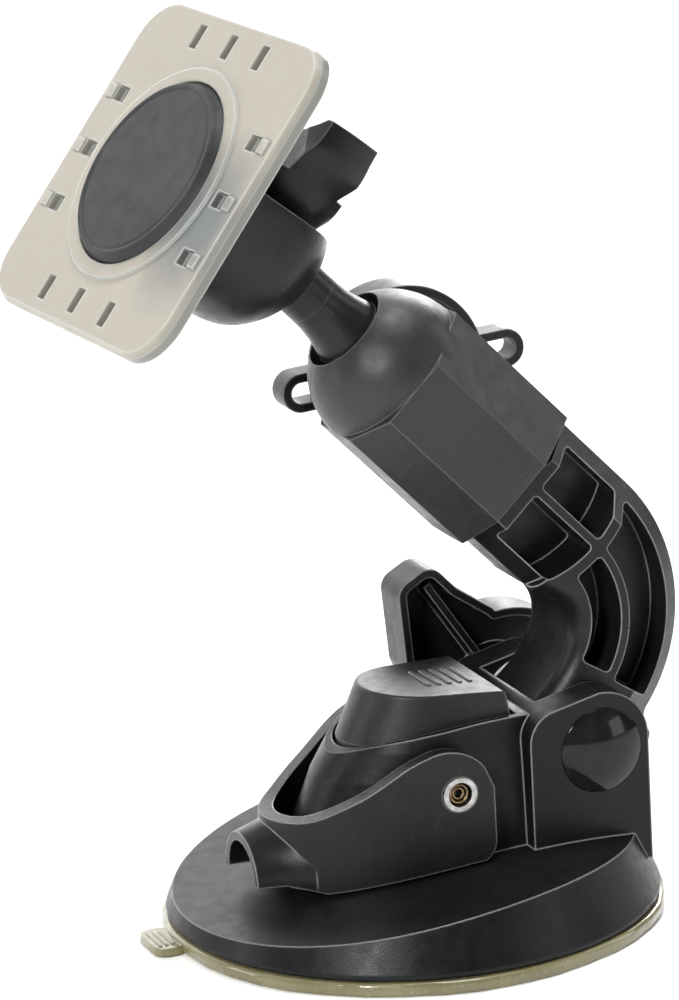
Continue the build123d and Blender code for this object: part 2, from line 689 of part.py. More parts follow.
with BuildPart() as sleeve_front:
    add(sleeve_body.part)
    split(bisect_by=Plane.XZ, keep=Keep.TOP)
finish(sleeve_front.part, "sleeve_front")

with BuildPart() as sleeve_rear:
    add(sleeve_body.part)
    split(bisect_by=Plane.XZ, keep=Keep.BOTTOM)
finish(sleeve_rear.part, "sleeve_rear")

with BuildPart() as sleeve_screws:
    for t, s, seat in SLEEVE_SCREWS:
        with BuildSketch(Plane.XZ.offset(-seat)):
            with Locations(on_sleeve(t, s)):
                Circle(SLEEVE_SCREW_R)
        extrude(amount=seat + SLEEVE_SCREW_TIP)
        with BuildSketch(Plane.XZ.offset(-seat)):
            with Locations(on_sleeve(t, s)):
                Circle(SLEEVE_HEAD_R)
        extrude(amount=-1.6)
finish(sleeve_screws.part, "sleeve_screws")

# ================================================================ sleeve clamp: screw, knob and nut
clamp_x, clamp_z = on_sleeve(*CLAMP_AT)
clamp_frame = Plane(origin=(clamp_x, 0, clamp_z), x_dir=(math.cos(EAR_TURN), 0, math.sin(EAR_TURN)), z_dir=(0, 1, 0))

with BuildPart() as clamp_screw:
    with BuildSketch(clamp_frame.offset(-CLAMP_HEAD_Y)):
        Circle(SCREW_R)
    extrude(amount=CLAMP_HEAD_Y + CLAMP_END)
    with BuildSketch(Plane.XZ.offset(CLAMP_HEAD_Y)):
        with Locations((clamp_x, clamp_z)):
            RegularPolygon(CLAMP_HEX_R, 6)
    extrude(amount=CLAMP_HEAD_T)
finish(clamp_screw.part, "clamp_screw")

with BuildPart() as sleeve_knob:
    with BuildSketch(clamp_frame.offset(KNOB_NEAR)):
        SlotOverall(2 * EAR_REACH, EAR_WIDTH)
        SlotOverall(2 * EAR_REACH - EAR_WIDTH + EAR_SLOT, EAR_SLOT, mode=Mode.SUBTRACT)
    extrude(amount=EAR_T)
    with BuildSketch(clamp_frame.offset(KNOB_NEAR)):
        Circle(SLEEVE_KNOB_R)
    extrude(amount=KNOB_FAR - KNOB_NEAR)
    back_edge = sleeve_knob.faces().sort_by(Axis.Y)[-1].edges()
    fillet(back_edge, 1.5)
    with BuildSketch(clamp_frame.offset(KNOB_NEAR - 1)):
        Circle(SLEEVE_KNOB_R - SLEEVE_KNOB_WALL)
    extrude(amount=KNOB_FAR - KNOB_NEAR - 1, mode=Mode.SUBTRACT)
    with BuildSketch(clamp_frame.offset(BOSS_Y + 0.1)):
        Circle(5.2)
    extrude(amount=KNOB_FAR - BOSS_Y - 1)
    for turn in (45, 135):
        with BuildSketch(clamp_frame.offset(KNOB_NEAR + 1.5)):
            with Locations(Location((0, 0), turn)):
                Rectangle(27.6, 1.4)
        extrude(amount=KNOB_FAR - KNOB_NEAR - 2.5)
    with BuildSketch(clamp_frame.offset(BOSS_Y)):
        RegularPolygon(3.2, 6)
    extrude(amount=2.6, mode=Mode.SUBTRACT)
    with BuildSketch(clamp_frame.offset(BOSS_Y)):
        Circle(SCREW_R + RUNNING)
    extrude(amount=8.6, mode=Mode.SUBTRACT)
finish(sleeve_knob.part, "sleeve_knob")

with BuildPart() as sleeve_knob_nut:
    with BuildSketch(clamp_frame.offset(BOSS_Y + 0.2)):
        RegularPolygon(3.2, 6)
        Circle(SCREW_R, mode=Mode.SUBTRACT)
    extrude(amount=2.4)
finish(sleeve_knob_nut.part, "sleeve_knob_nut")

# ================================================================ tilt knob and nut


def tilt_knob_outline(shrink=0.0):
    """A disc round the bolt with one big ear that leans forwards and up."""
    with BuildSketch() as outline:
        with BuildLine():
            Polyline(*[(x - PIVOT[0], PIVOT[1] - z) for x, z in EAR_OUTLINE + EAR_OUTLINE[:1]])
        make_face()
        fillet(outline.vertices(), EAR_ROUND)
        Circle(TILT_KNOB_R)
        if shrink:
            offset(amount=-shrink, mode=Mode.REPLACE)
    return outline.sketch


with BuildPart() as tilt_knob:
    with BuildSketch(pivot_frame.offset(TILT_NEAR)):
        add(tilt_knob_outline())
    extrude(amount=TILT_FAR - TILT_NEAR)
    back_edge = tilt_knob.faces().sort_by(Axis.Y)[-1].edges()
    fillet(back_edge, 1.2)
    with BuildSketch(pivot_frame.offset(TILT_NEAR - 1)):
        add(tilt_knob_outline(TILT_WALL))
    extrude(amount=TILT_FAR - TILT_NEAR - 1, mode=Mode.SUBTRACT)
    with BuildSketch(pivot_frame.offset(LUG_OUT + 0.15)):
        Circle(7.4)
    extrude(amount=TILT_FAR - LUG_OUT - 1)
    with BuildSketch(pivot_frame.offset(TILT_NEAR + 2.5)):
        with Locations(Location((-9, -13.5), 57)):
            Rectangle(18, 1.4)
        Rectangle(29, 1.4)
    extrude(amount=TILT_FAR - TILT_NEAR - 3.5)
    with BuildSketch(pivot_frame.offset(LUG_OUT)):
        RegularPolygon(NUT_R, 6)
    extrude(amount=4.4, mode=Mode.SUBTRACT)
    with BuildSketch(pivot_frame.offset(LUG_OUT)):
        Circle(BOLT_R + RUNNING)
    extrude(amount=9.6, mode=Mode.SUBTRACT)
finish(tilt_knob.part, "tilt_knob")

with BuildPart() as tilt_knob_nut:
    with BuildSketch(pivot_frame.offset(LUG_OUT + 0.3)):
        RegularPolygon(NUT_R, 6)
        Circle(BOLT_R, mode=Mode.SUBTRACT)
    extrude(amount=4.0)
finish(tilt_knob_nut.part, "tilt_knob_nut")

# ================================================================ neck and its two seats
sleeve_ball_seat = ball_ring(sleeve_frame, BALL_R + RUNNING, SEAT_R, -SEAT_LOW, SEAT_HIGH)
finish(sleeve_ball_seat, "sleeve_ball_seat")
head_ball_seat = ball_ring(neck_frame, BALL_R + RUNNING, SEAT_R, -SEAT_HIGH, SEAT_LOW)
finish(head_ball_seat, "head_ball_seat")

with BuildPart() as neck:
    with BuildSketch(neck_frame):
        Circle(NECK_R)
    extrude(amount=NECK_LENGTH)
    with Locations(head_ball, dome):
        Sphere(BALL_R)
    with BuildSketch(Plane(origin=head_ball, x_dir=along, z_dir=Vector(0, 1, 0))):
        with BuildLine():
            rise = [(NECK_LENGTH - before, radius) for before, radius in COLLAR]
            Spline(*rise)
            Polyline(rise[-1], (rise[-1][0], 4.0), (rise[0][0], 4.0), rise[0])
        make_face()
    revolve(axis=Axis(head_ball, along))
finish(neck.part, "neck")

# ================================================================ head housing, shoe and screw
with BuildPart() as head_housing:
    with BuildSketch(Plane(origin=plate_centre, x_dir=head_right, z_dir=head_up)):
        with BuildLine():
            Line((0, PLATE_T), DEPTHS[0])
            Spline(*DEPTHS)
            Polyline(DEPTHS[-1], (HEAD_MOUTH_R, 31.4), (0, 31.4), (0, PLATE_T))
        make_face()
    revolve(axis=Axis(plate_centre, HEAD_NORMAL))
    with BuildSketch(knob_in_head.offset(HEAD_CUT)):
        Circle(40)
    extrude(amount=30, mode=Mode.SUBTRACT)
    with BuildSketch(knob_in_head):
        Circle(9.0)
    extrude(amount=10.4)
    with BuildSketch(knob_in_head):
        Circle(5.4)
    extrude(amount=14.0)
    with Locations(head_ball):
        Sphere(SEAT_R + RUNNING, mode=Mode.SUBTRACT)
    with BuildSketch(ball_in_head.offset(-14)):
        Circle(HEAD_MOUTH_R)
    extrude(amount=10, mode=Mode.SUBTRACT)
    with BuildSketch(knob_in_head):
        Circle(4.2)
    extrude(amount=11.6, mode=Mode.SUBTRACT)
    with BuildSketch(knob_in_head):
        Circle(STUD_SCREW_R + RUNNING)
    extrude(amount=20, mode=Mode.SUBTRACT)
    with BuildSketch(head_frame.offset(-9)):
        with PolarLocations(PLATE_SCREW_PCR, 4, start_angle=45):
            Circle(PLATE_SCREW_R)
    extrude(amount=8, mode=Mode.SUBTRACT)
finish(head_housing.part, "head_housing")

with BuildPart() as head_shoe:
    with BuildSketch(knob_in_head.offset(7)):
        Circle(4.1)
    extrude(amount=4.4)
    with Locations(head_ball):
        Sphere(SEAT_R, mode=Mode.SUBTRACT)
finish(head_shoe.part, "head_shoe")

with BuildPart() as head_screw:
    with BuildSketch(knob_in_head.offset(11.45)):
        Circle(STUD_SCREW_R)
    extrude(amount=4.6)
    with BuildSketch(knob_in_head.offset(16.05)):
        RegularPolygon(STUD_SCREW_R, 6)
    extrude(amount=1.0)
finish(head_screw.part, "head_screw")

# ================================================================ head knob

with BuildPart() as dishes:
    for side in (-1, 1):
        with BuildSketch(Plane(origin=head_ball, x_dir=HEAD_NORMAL, z_dir=-head_right)):
            with BuildLine():
                Spline(*[(side * n, h) for n, h in DISH])
                Polyline((side * DISH[-1][0], DISH[-1][1]), (side * 22, DISH[-1][1]), (side * 22, DISH[0][1]),
                         (side * DISH[0][0], DISH[0][1]))
            make_face()
        extrude(amount=20, both=True)
        with BuildSketch(knob_in_head.offset(12.0)):
            with Locations((0, side * (DISH_R + DISH_HALF))):
                Circle(DISH_R)
        extrude(amount=12)

with BuildPart() as head_knob:
    with BuildSketch(ball_in_head):
        with BuildLine():
            Spline(*FLARE)
            Polyline(FLARE[-1], (WING_HALF, KNOB_TOP), (0, KNOB_TOP), (0, KNOB_FOOT), FLARE[0])
        make_face()
    revolve(axis=Axis(head_ball, head_up))
    add(dishes.part, mode=Mode.SUBTRACT)
    with BuildSketch(ball_in_head):
        with Locations((0, SADDLE_LOW + SADDLE_R)):
            Circle(SADDLE_R)
    extrude(amount=20, both=True, mode=Mode.SUBTRACT)
    with BuildSketch(knob_in_head):
        Circle(9.15)
    extrude(amount=10.6, mode=Mode.SUBTRACT)
    with BuildSketch(knob_in_head):
        Circle(5.6)
    extrude(amount=14.2, mode=Mode.SUBTRACT)
    with BuildSketch(knob_in_head):
        Circle(STUD_SCREW_R)
    extrude(amount=16.05, mode=Mode.SUBTRACT)
    with BuildSketch(knob_in_head):
        RegularPolygon(STUD_SCREW_R, 6)
    extrude(amount=17.05, mode=Mode.SUBTRACT)
finish(head_knob.part, "head_knob")

# ================================================================ clip plate, pad and screws
with BuildPart() as clip_plate:
    with BuildSketch(head_frame):
        RectangleRounded(PLATE, PLATE, PLATE_CORNER)
    extrude(amount=-PLATE_T)
    front_edge = clip_plate.faces().sort_by(Axis(plate_centre, HEAD_NORMAL))[-1].edges()
    chamfer(front_edge, 1.1, 0.7)
    with BuildSketch(head_frame):
        Circle(LIP_R)
    extrude(amount=LIP_RISE)
    with BuildSketch(head_frame.offset(-PAD_SINK)):
        Circle(PAD_R + 0.1)
    extrude(amount=2, mode=Mode.SUBTRACT)
    with BuildSketch(head_frame.offset(-1.6)):
        for turn in (0, 90, 180, 270):
            reach, length, width = SIDE_NOTCHES if turn % 180 == 0 else END_NOTCHES
            for step in (-NOTCH_PITCH, 0, NOTCH_PITCH):
                with Locations(Location((0, 0), turn)):
                    with Locations((reach, step)):
                        Rectangle(length, width)
    extrude(amount=2, mode=Mode.SUBTRACT)
    with BuildSketch(head_frame.offset(-2.0)):
        with PolarLocations(PLATE_SCREW_PCR, 4, start_angle=45):
            Circle(2.2)
    extrude(amount=2, mode=Mode.SUBTRACT)
    with BuildSketch(head_frame.offset(-3)):
        with PolarLocations(PLATE_SCREW_PCR, 4, start_angle=45):
            Circle(PLATE_SCREW_R)
    extrude(amount=3, mode=Mode.SUBTRACT)
finish(clip_plate.part, "clip_plate")

with BuildPart() as plate_screws:
    with BuildSketch(head_frame.offset(-9)):
        with PolarLocations(PLATE_SCREW_PCR, 4, start_angle=45):
            Circle(PLATE_SCREW_R)
    extrude(amount=7)
    with BuildSketch(head_frame.offset(-2.0)):
        with PolarLocations(PLATE_SCREW_PCR, 4, start_angle=45):
            Circle(2.1)
    extrude(amount=1.1)
finish(plate_screws.part, "plate_screws")

with BuildPart() as grip_pad:
    with BuildSketch(head_frame.offset(-PAD_SINK)):
        Circle(PAD_R)
    extrude(amount=PAD_SINK + PAD_PROUD)
    front_edge = grip_pad.faces().sort_by(Axis(plate_centre, HEAD_NORMAL))[-1].edges()
    chamfer(front_edge, PAD_BEVEL)
finish(grip_pad.part, "grip_pad")
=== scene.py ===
import json
import math

import bmesh
import bpy
from mathutils import Matrix, Vector
from mathutils.bvhtree import BVHTree


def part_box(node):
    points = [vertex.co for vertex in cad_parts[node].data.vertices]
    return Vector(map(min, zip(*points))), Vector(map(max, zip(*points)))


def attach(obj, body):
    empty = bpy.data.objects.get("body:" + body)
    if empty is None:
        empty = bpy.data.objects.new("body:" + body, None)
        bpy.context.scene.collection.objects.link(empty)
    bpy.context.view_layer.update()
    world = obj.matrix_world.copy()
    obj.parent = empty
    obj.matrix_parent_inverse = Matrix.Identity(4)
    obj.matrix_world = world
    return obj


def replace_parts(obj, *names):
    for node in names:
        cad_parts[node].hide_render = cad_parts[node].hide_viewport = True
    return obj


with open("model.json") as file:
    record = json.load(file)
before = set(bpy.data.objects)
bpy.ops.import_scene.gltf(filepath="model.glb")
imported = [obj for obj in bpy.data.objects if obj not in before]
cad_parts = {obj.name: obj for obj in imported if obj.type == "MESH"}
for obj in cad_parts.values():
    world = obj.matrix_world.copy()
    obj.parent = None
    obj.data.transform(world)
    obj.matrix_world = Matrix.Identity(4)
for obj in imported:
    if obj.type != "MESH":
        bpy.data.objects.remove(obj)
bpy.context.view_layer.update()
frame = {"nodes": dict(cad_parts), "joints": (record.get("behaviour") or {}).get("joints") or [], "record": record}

# Pieces are drawn in millimetres and scaled to metres. The camera, lights and floor are in metres.
MM = 0.001
nodes = frame["nodes"]
joints = {joint["name"]: joint for joint in frame["joints"]}
mounts = {mount["name"]: mount for mount in frame["record"]["mounts"]}


# ------------------------------------------------------------------ places from the frame
def in_mm(metres):
    return Vector(metres) * (1 / MM)


# The round pad's face, how far it stands off the clip plate, and the head's own directions.
face_centre = in_mm(mounts["clip_face"]["pos_m"])
face_normal = Vector(mounts["clip_face"]["axis"]).normalized()
PAD_PROUD = 1.9
head_up = Vector(joints["head_knob_turn"]["axis"]).normalized()
head_right = head_up.cross(face_normal)

# The rod between the two balls, and its lower ball.
neck_along = Vector(joints["neck_spin"]["axis"]).normalized()
lower_ball = in_mm(joints["neck_spin"]["pos_m"])

# The lever's pin and the lever's outer faces.
pin_spot = in_mm(joints["lever_lift"]["pos_m"])
lever_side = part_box("lock_lever")[1].y / MM


# ------------------------------------------------------------------ camera
AZIMUTH = math.radians(-21.0)
ELEVATION = math.radians(15.1)
ROLL = math.radians(3.2)
DISTANCE = 0.800
ASIDE = -0.0089
ABOVE = 0.0706
LENS_MM = 167.3
SENSOR_MM = 36
NEAREST = 0.05
FARTHEST = 60


def make_camera():
    """A long lens a little to the left and above, with a small roll."""
    back = Vector((math.sin(AZIMUTH) * math.cos(ELEVATION),
                   -math.cos(AZIMUTH) * math.cos(ELEVATION),
                   math.sin(ELEVATION)))
    right = Vector((math.cos(AZIMUTH), math.sin(AZIMUTH), 0))
    up = back.cross(right)
    place = right * ASIDE + up * ABOVE + back * DISTANCE
    turned_right = right * math.cos(ROLL) - up * math.sin(ROLL)
    turned_up = right * math.sin(ROLL) + up * math.cos(ROLL)
    directions = Matrix((turned_right, turned_up, back)).transposed()
    data = bpy.data.cameras.new("camera")
    data.lens = LENS_MM
    data.sensor_width = SENSOR_MM
    data.clip_start = NEAREST
    data.clip_end = FARTHEST
    camera = bpy.data.objects.new("camera", data)
    camera.matrix_world = Matrix.Translation(place) @ directions.to_4x4()
    bpy.context.scene.collection.objects.link(camera)
    bpy.context.scene.camera = camera


# ------------------------------------------------------------------ lights
OBJECT_MIDDLE = (0, 0, 0.07)
BACKDROP_MIDDLE = (0, 2.4, 0.9)
FLOOR_MIDDLE = (0, 0.2, 0)
WHITE = (1, 1, 1)
WARM_WHITE = (1.0, 0.99, 0.965)
WORLD_STRENGTH = 0.12

# Name, place, what it lights, width, height, watts, tint.
SOFT_BOXES = [
    ("key", (-0.80, -0.80, 0.71), OBJECT_MIDDLE, 0.26, 0.26, 14.5, WARM_WHITE),
    ("fill", (0.95, -0.95, 0.30), OBJECT_MIDDLE, 0.50, 0.50, 2.0, WHITE),
    ("top", (0.15, 0.05, 1.10), OBJECT_MIDDLE, 0.36, 0.36, 6.2, WHITE),
    ("rim", (0.55, 0.75, 0.50), OBJECT_MIDDLE, 0.40, 0.40, 7.5, WHITE),
    ("side", (-1.0, 0.30, 0.30), OBJECT_MIDDLE, 0.16, 0.90, 3.0, WHITE),
    ("edge", (1.05, -0.05, 0.55), OBJECT_MIDDLE, 0.12, 0.80, 2.4, WHITE),
    ("backdrop", (0, 0.9, 1.2), BACKDROP_MIDDLE, 2.5, 1.5, 75, WHITE),
    ("floor", (0, 0.3, 2.6), FLOOR_MIDDLE, 2.5, 2.5, 24, WHITE),
]


def soft_box(name, place, aim, width, height, watts, tint):
    data = bpy.data.lights.new(name, "AREA")
    data.shape = "RECTANGLE"
    data.size = width
    data.size_y = height
    data.energy = watts
    data.color = tint
    light = bpy.data.objects.new(name, data)
    light.location = place
    light.rotation_euler = (Vector(aim) - Vector(place)).to_track_quat("-Z", "Y").to_euler()
    bpy.context.scene.collection.objects.link(light)


def make_lights():
    for values in SOFT_BOXES:
        soft_box(*values)
    world = bpy.data.worlds.new("studio")
    world.use_nodes = True
    background = world.node_tree.nodes["Background"]
    background.inputs["Color"].default_value = (*WHITE, 1)
    background.inputs["Strength"].default_value = WORLD_STRENGTH
    bpy.context.scene.world = world


# ------------------------------------------------------------------ floor
FLOOR_HALF_WIDTH = 4.0
FLOOR_FRONT = -3.0
BEND_START = 1.6
BEND_R = 0.8
BEND_ANGLES = (0.3, 0.6, 0.9, 1.2, 1.57)
BACKDROP_TOP = 4.0


def make_floor():
    """A wide pale floor that rises into a backdrop."""
    mesh = bpy.data.meshes.new("floor")
    work = bmesh.new()
    profile = [(FLOOR_FRONT, 0), (BEND_START, 0)]
    profile += [(BEND_START + BEND_R * math.sin(a), BEND_R - BEND_R * math.cos(a)) for a in BEND_ANGLES]
    profile += [(BEND_START + BEND_R, BACKDROP_TOP)]
    rows = [[work.verts.new((x, y, z)) for y, z in profile] for x in (-FLOOR_HALF_WIDTH, FLOOR_HALF_WIDTH)]
    for i in range(len(profile) - 1):
        work.faces.new((rows[0][i], rows[1][i], rows[1][i + 1], rows[0][i + 1]))
    bmesh.ops.recalc_face_normals(work, faces=work.faces)
    work.to_mesh(mesh)
    work.free()
    mesh.shade_smooth()
    floor = bpy.data.objects.new("floor", mesh)
    bpy.context.scene.collection.objects.link(floor)
    paper = Shader("floor_paper", rough=0.85)
    paper.mottle((0.92, 0.92, 0.92), (0.95, 0.95, 0.95), 3.0)
    mesh.materials.append(paper.material)


# ------------------------------------------------------------------ shader parts
NOISE_ROUGHNESS = 0.55
EDGE_SAMPLES = 6
# The rounded and the true normal's dot product: an edge below the first value, flat above the second. This mask
# places the painted edge highlight.
EDGE_DOT = (0.90, 0.998)


class Shader:
    """A Principled material whose parts are added one at a time. Noise scales are per metre."""

    def __init__(self, name, rough, metal=0.0):
        self.material = bpy.data.materials.new(name)
        self.material.use_nodes = True
        self.tree = self.material.node_tree
        self.main = self.tree.nodes["Principled BSDF"]
        self.set("Roughness", rough)
        self.set("Metallic", metal)
        self.place = self.tree.nodes.new("ShaderNodeTexCoord").outputs["Object"]

    def set(self, name, value):
        self.main.inputs[name].default_value = value

    def node(self, kind, **inputs):
        made = self.tree.nodes.new(kind)
        for name, value in inputs.items():
            socket = made.inputs[name.replace("_", " ")]
            if isinstance(value, bpy.types.NodeSocket):
                self.tree.links.new(value, socket)
            else:
                socket.default_value = value
        return made

    def vector_math(self, operation, first, second=None):
        made = self.tree.nodes.new("ShaderNodeVectorMath")
        made.operation = operation
        self.tree.links.new(first, made.inputs[0])
        if isinstance(second, bpy.types.NodeSocket):
            self.tree.links.new(second, made.inputs[1])
        elif second is not None:
            made.inputs[1].default_value = second
        return made

    def noise(self, scale, detail):
        made = self.node("ShaderNodeTexNoise", Vector=self.place, Scale=scale, Detail=detail,
                         Roughness=NOISE_ROUGHNESS)
        return made.outputs["Fac"]

    def remap(self, value, low, high, at_low, at_high):
        made = self.node("ShaderNodeMapRange", Value=value, From_Min=low, From_Max=high,
                         To_Min=at_low, To_Max=at_high)
        return made.outputs["Result"]

    def ramp(self, fac, low, high, first, second):
        """The first colour up to the low value, and the second from the high value on."""
        made = self.node("ShaderNodeValToRGB", Fac=fac)
        for element, position, colour in zip(made.color_ramp.elements, (low, high), (first, second)):
            element.position = position
            element.color = (*colour, 1)
        return made.outputs["Color"]

    def mix(self, fac, first, second):
        made = self.tree.nodes.new("ShaderNodeMix")
        made.data_type = "RGBA"
        for name, value in (("Factor", fac), ("A", first), ("B", second)):
            socket = [s for s in made.inputs if s.name == name and s.enabled][0]
            if isinstance(value, bpy.types.NodeSocket):
                self.tree.links.new(value, socket)
            elif name == "Factor":
                socket.default_value = value
            else:
                socket.default_value = (*value, 1)
        return [s for s in made.outputs if s.enabled][0]

    def colour(self, socket):
        self.tree.links.new(socket, self.main.inputs["Base Color"])

    def mottle(self, first, second, scale, detail=4.0):
        """Base colour that wanders slowly between two close colours."""
        self.colour(self.ramp(self.noise(scale, detail), 0.35, 0.65, first, second))

    def uneven_gloss(self, low, high, scale):
        """Roughness that wanders between two values."""
        roughness = self.remap(self.noise(scale, 4.0), 0.3, 0.7, low, high)
        self.tree.links.new(roughness, self.main.inputs["Roughness"])

    def soft_edges(self, radius):
        """A normal that rounds sharp edges over a radius in metres."""
        made = self.tree.nodes.new("ShaderNodeBevel")
        made.samples = EDGE_SAMPLES
        made.inputs["Radius"].default_value = radius
        return made.outputs["Normal"]

    def painted_highlight_mask(self, rounded):
        """1 on sharp edges, 0 elsewhere: where the rounded normal leaves the true one. It places a painted edge
        highlight.
        """
        true = self.tree.nodes.new("ShaderNodeNewGeometry").outputs["Normal"]
        dot = self.vector_math("DOT_PRODUCT", rounded, true).outputs["Value"]
        return self.remap(dot, *EDGE_DOT, 1.0, 0.0)

    def grain(self, scale, depth, normal):
        """A fine bump, its depth in metres, on top of a normal."""
        made = self.node("ShaderNodeBump", Height=self.noise(scale, 2.0), Strength=1.0, Distance=depth,
                         Normal=normal)
        self.tree.links.new(made.outputs["Normal"], self.main.inputs["Normal"])


def scaled(colour, factor, added=0.0):
    return tuple(part * factor + added for part in colour)


# ------------------------------------------------------------------ materials
SPARK_SCALE = 3400.0
SPARK_DEPTH = 0.00003
SPECK_SCALE = 2600.0
STREAK_SCALE = 900.0


def moulded(name, dark, light, rough, edge=(0.20, 0.205, 0.21), radius=0.0005, speck=0.35, shine=0.25):
    """Satin moulded plastic: a fine spark texture, pale specks and painted highlights on sharp edges."""
    made = Shader(name, rough)
    base = made.ramp(made.noise(55.0, 5.0), 0.32, 0.68, dark, light)
    specks = made.remap(made.noise(SPECK_SCALE, 2.0), 0.66, 0.80, 0.0, speck)
    base = made.mix(specks, base, scaled(light, 2.6, 0.04))
    rounded = made.soft_edges(radius)
    # Sharp edges take the edge colour: a painted highlight.
    made.colour(made.mix(made.painted_highlight_mask(rounded), base, edge))
    made.uneven_gloss(rough - 0.07, rough + 0.09, 420.0)
    made.grain(SPARK_SCALE, SPARK_DEPTH, rounded)
    made.set("Specular IOR Level", shine)
    return made.material


def metal(name, first, second, rough):
    """Plated or brushed steel with fine streaks."""
    made = Shader(name, rough, 1.0)
    made.mottle(first, second, STREAK_SCALE, 6.0)
    made.uneven_gloss(rough - 0.08, rough + 0.12, STREAK_SCALE * 0.7)
    made.grain(STREAK_SCALE * 2.0, 0.00002, made.soft_edges(0.0002))
    return made.material


def rubber(name, first, second, rough, grain_scale):
    """Matt rubber with a slightly paler painted highlight on its edges."""
    made = Shader(name, rough)
    base = made.ramp(made.noise(90.0, 5.0), 0.3, 0.7, first, second)
    rounded = made.soft_edges(0.0004)
    # The paler edge colour is a painted highlight.
    made.colour(made.mix(made.painted_highlight_mask(rounded), base, scaled(second, 1.8, 0.01)))
    made.uneven_gloss(rough - 0.08, rough + 0.08, 300.0)
    made.grain(grain_scale, 0.00003, rounded)
    made.set("Specular IOR Level", 0.35)
    return made.material


def polished(name, tone):
    """Glossy injection-moulded cap with faint flow marks."""
    made = Shader(name, 0.10)
    made.mottle(tone, scaled(tone, 1.9), 260.0)
    made.uneven_gloss(0.05, 0.14, 700.0)
    made.grain(320.0, 0.00002, made.soft_edges(0.0003))
    made.set("Specular IOR Level", 0.22)
    made.set("Coat Weight", 0.06)
    made.set("Coat Roughness", 0.04)
    return made.material


# The cool dark patch on the plate's face is painted shade, where the dark housing lies behind the see-through
# plate: how far right and down its middle lies, and its half width and length.
SHADE_PATCH_RIGHT = 21
SHADE_PATCH_DOWN = 4
SHADE_PATCH_HALF_WIDTH = 17
SHADE_PATCH_HALF_LENGTH = 26
# The plate's wall turns grey between these two depths under its face.
WALL_STARTS = 0.4
WALL_FULL = 1.6


def frosted(name):
    """Frosted, slightly see-through plate: warm, with a cool dark patch of painted shade on the right where the
    housing lies behind it, a grey wall and painted edge highlights.
    """
    made = Shader(name, 0.36)
    middle = face_centre + head_right * SHADE_PATCH_RIGHT - head_up * SHADE_PATCH_DOWN
    away = made.vector_math("SUBTRACT", made.place, middle * MM).outputs["Vector"]

    def distance(direction, unit):
        return made.vector_math("DOT_PRODUCT", away, direction / (unit * MM)).outputs["Value"]

    across = distance(head_right, SHADE_PATCH_HALF_WIDTH)
    along = distance(head_up, SHADE_PATCH_HALF_LENGTH)
    depth = distance(face_normal, 1)
    both = made.node("ShaderNodeCombineXYZ", X=across, Y=along).outputs["Vector"]
    reach = made.vector_math("LENGTH", both).outputs["Value"]
    # Painted shade: dark and cool near the patch's middle, warm further out, with a little noise.
    painted_shade_spread = made.node("ShaderNodeMath", Value=reach)
    painted_shade_spread.operation = "MULTIPLY_ADD"
    painted_shade_spread.inputs[1].default_value = 0.8
    made.tree.links.new(made.noise(38.0, 3.0), painted_shade_spread.inputs[2])
    base = made.ramp(painted_shade_spread.outputs["Value"], 0.60, 1.70, (0.118, 0.126, 0.127), (0.300, 0.277, 0.236))
    wall = made.remap(depth, -PAD_PROUD - WALL_STARTS, -PAD_PROUD - WALL_FULL, 0.0, 0.75)
    base = made.mix(wall, base, (0.150, 0.164, 0.156))
    rounded = made.soft_edges(0.0006)
    # Sharp edges take a pale colour: a painted highlight.
    made.colour(made.mix(made.painted_highlight_mask(rounded), base, (0.40, 0.42, 0.405)))
    made.uneven_gloss(0.28, 0.46, 240.0)
    made.grain(2200.0, 0.00002, rounded)
    made.set("Subsurface Weight", 0.25)
    made.set("Subsurface Radius", (0.004, 0.0035, 0.003))
    made.set("Subsurface Scale", 0.6)
    return made.material


def clear_gel(name):
    """Clear sticky gel with an olive tint and small trapped bubbles."""
    made = Shader(name, 0.16)
    bubbles = made.node("ShaderNodeTexVoronoi", Vector=made.place, Scale=900.0).outputs["Distance"]
    tint = made.ramp(made.noise(60.0, 5.0), 0.3, 0.7, (0.16, 0.145, 0.06), (0.44, 0.41, 0.24))
    dots = made.ramp(bubbles, 0.05, 0.22, (0.85, 0.82, 0.68), (0.34, 0.31, 0.16))
    made.colour(made.mix(0.35, tint, dots))
    made.uneven_gloss(0.08, 0.24, 500.0)
    made.grain(700.0, 0.00006, made.soft_edges(0.0004))
    made.set("Transmission Weight", 0.45)
    made.set("IOR", 1.45)
    made.set("Coat Weight", 0.4)
    return made.material


def acetal(name):
    """Natural acetal, off-white and satin."""
    made = Shader(name, 0.4)
    made.mottle((0.70, 0.70, 0.66), (0.80, 0.80, 0.76), 120.0)
    made.uneven_gloss(0.32, 0.5, 600.0)
    made.grain(2500.0, 0.00002, made.soft_edges(0.0003))
    return made.material


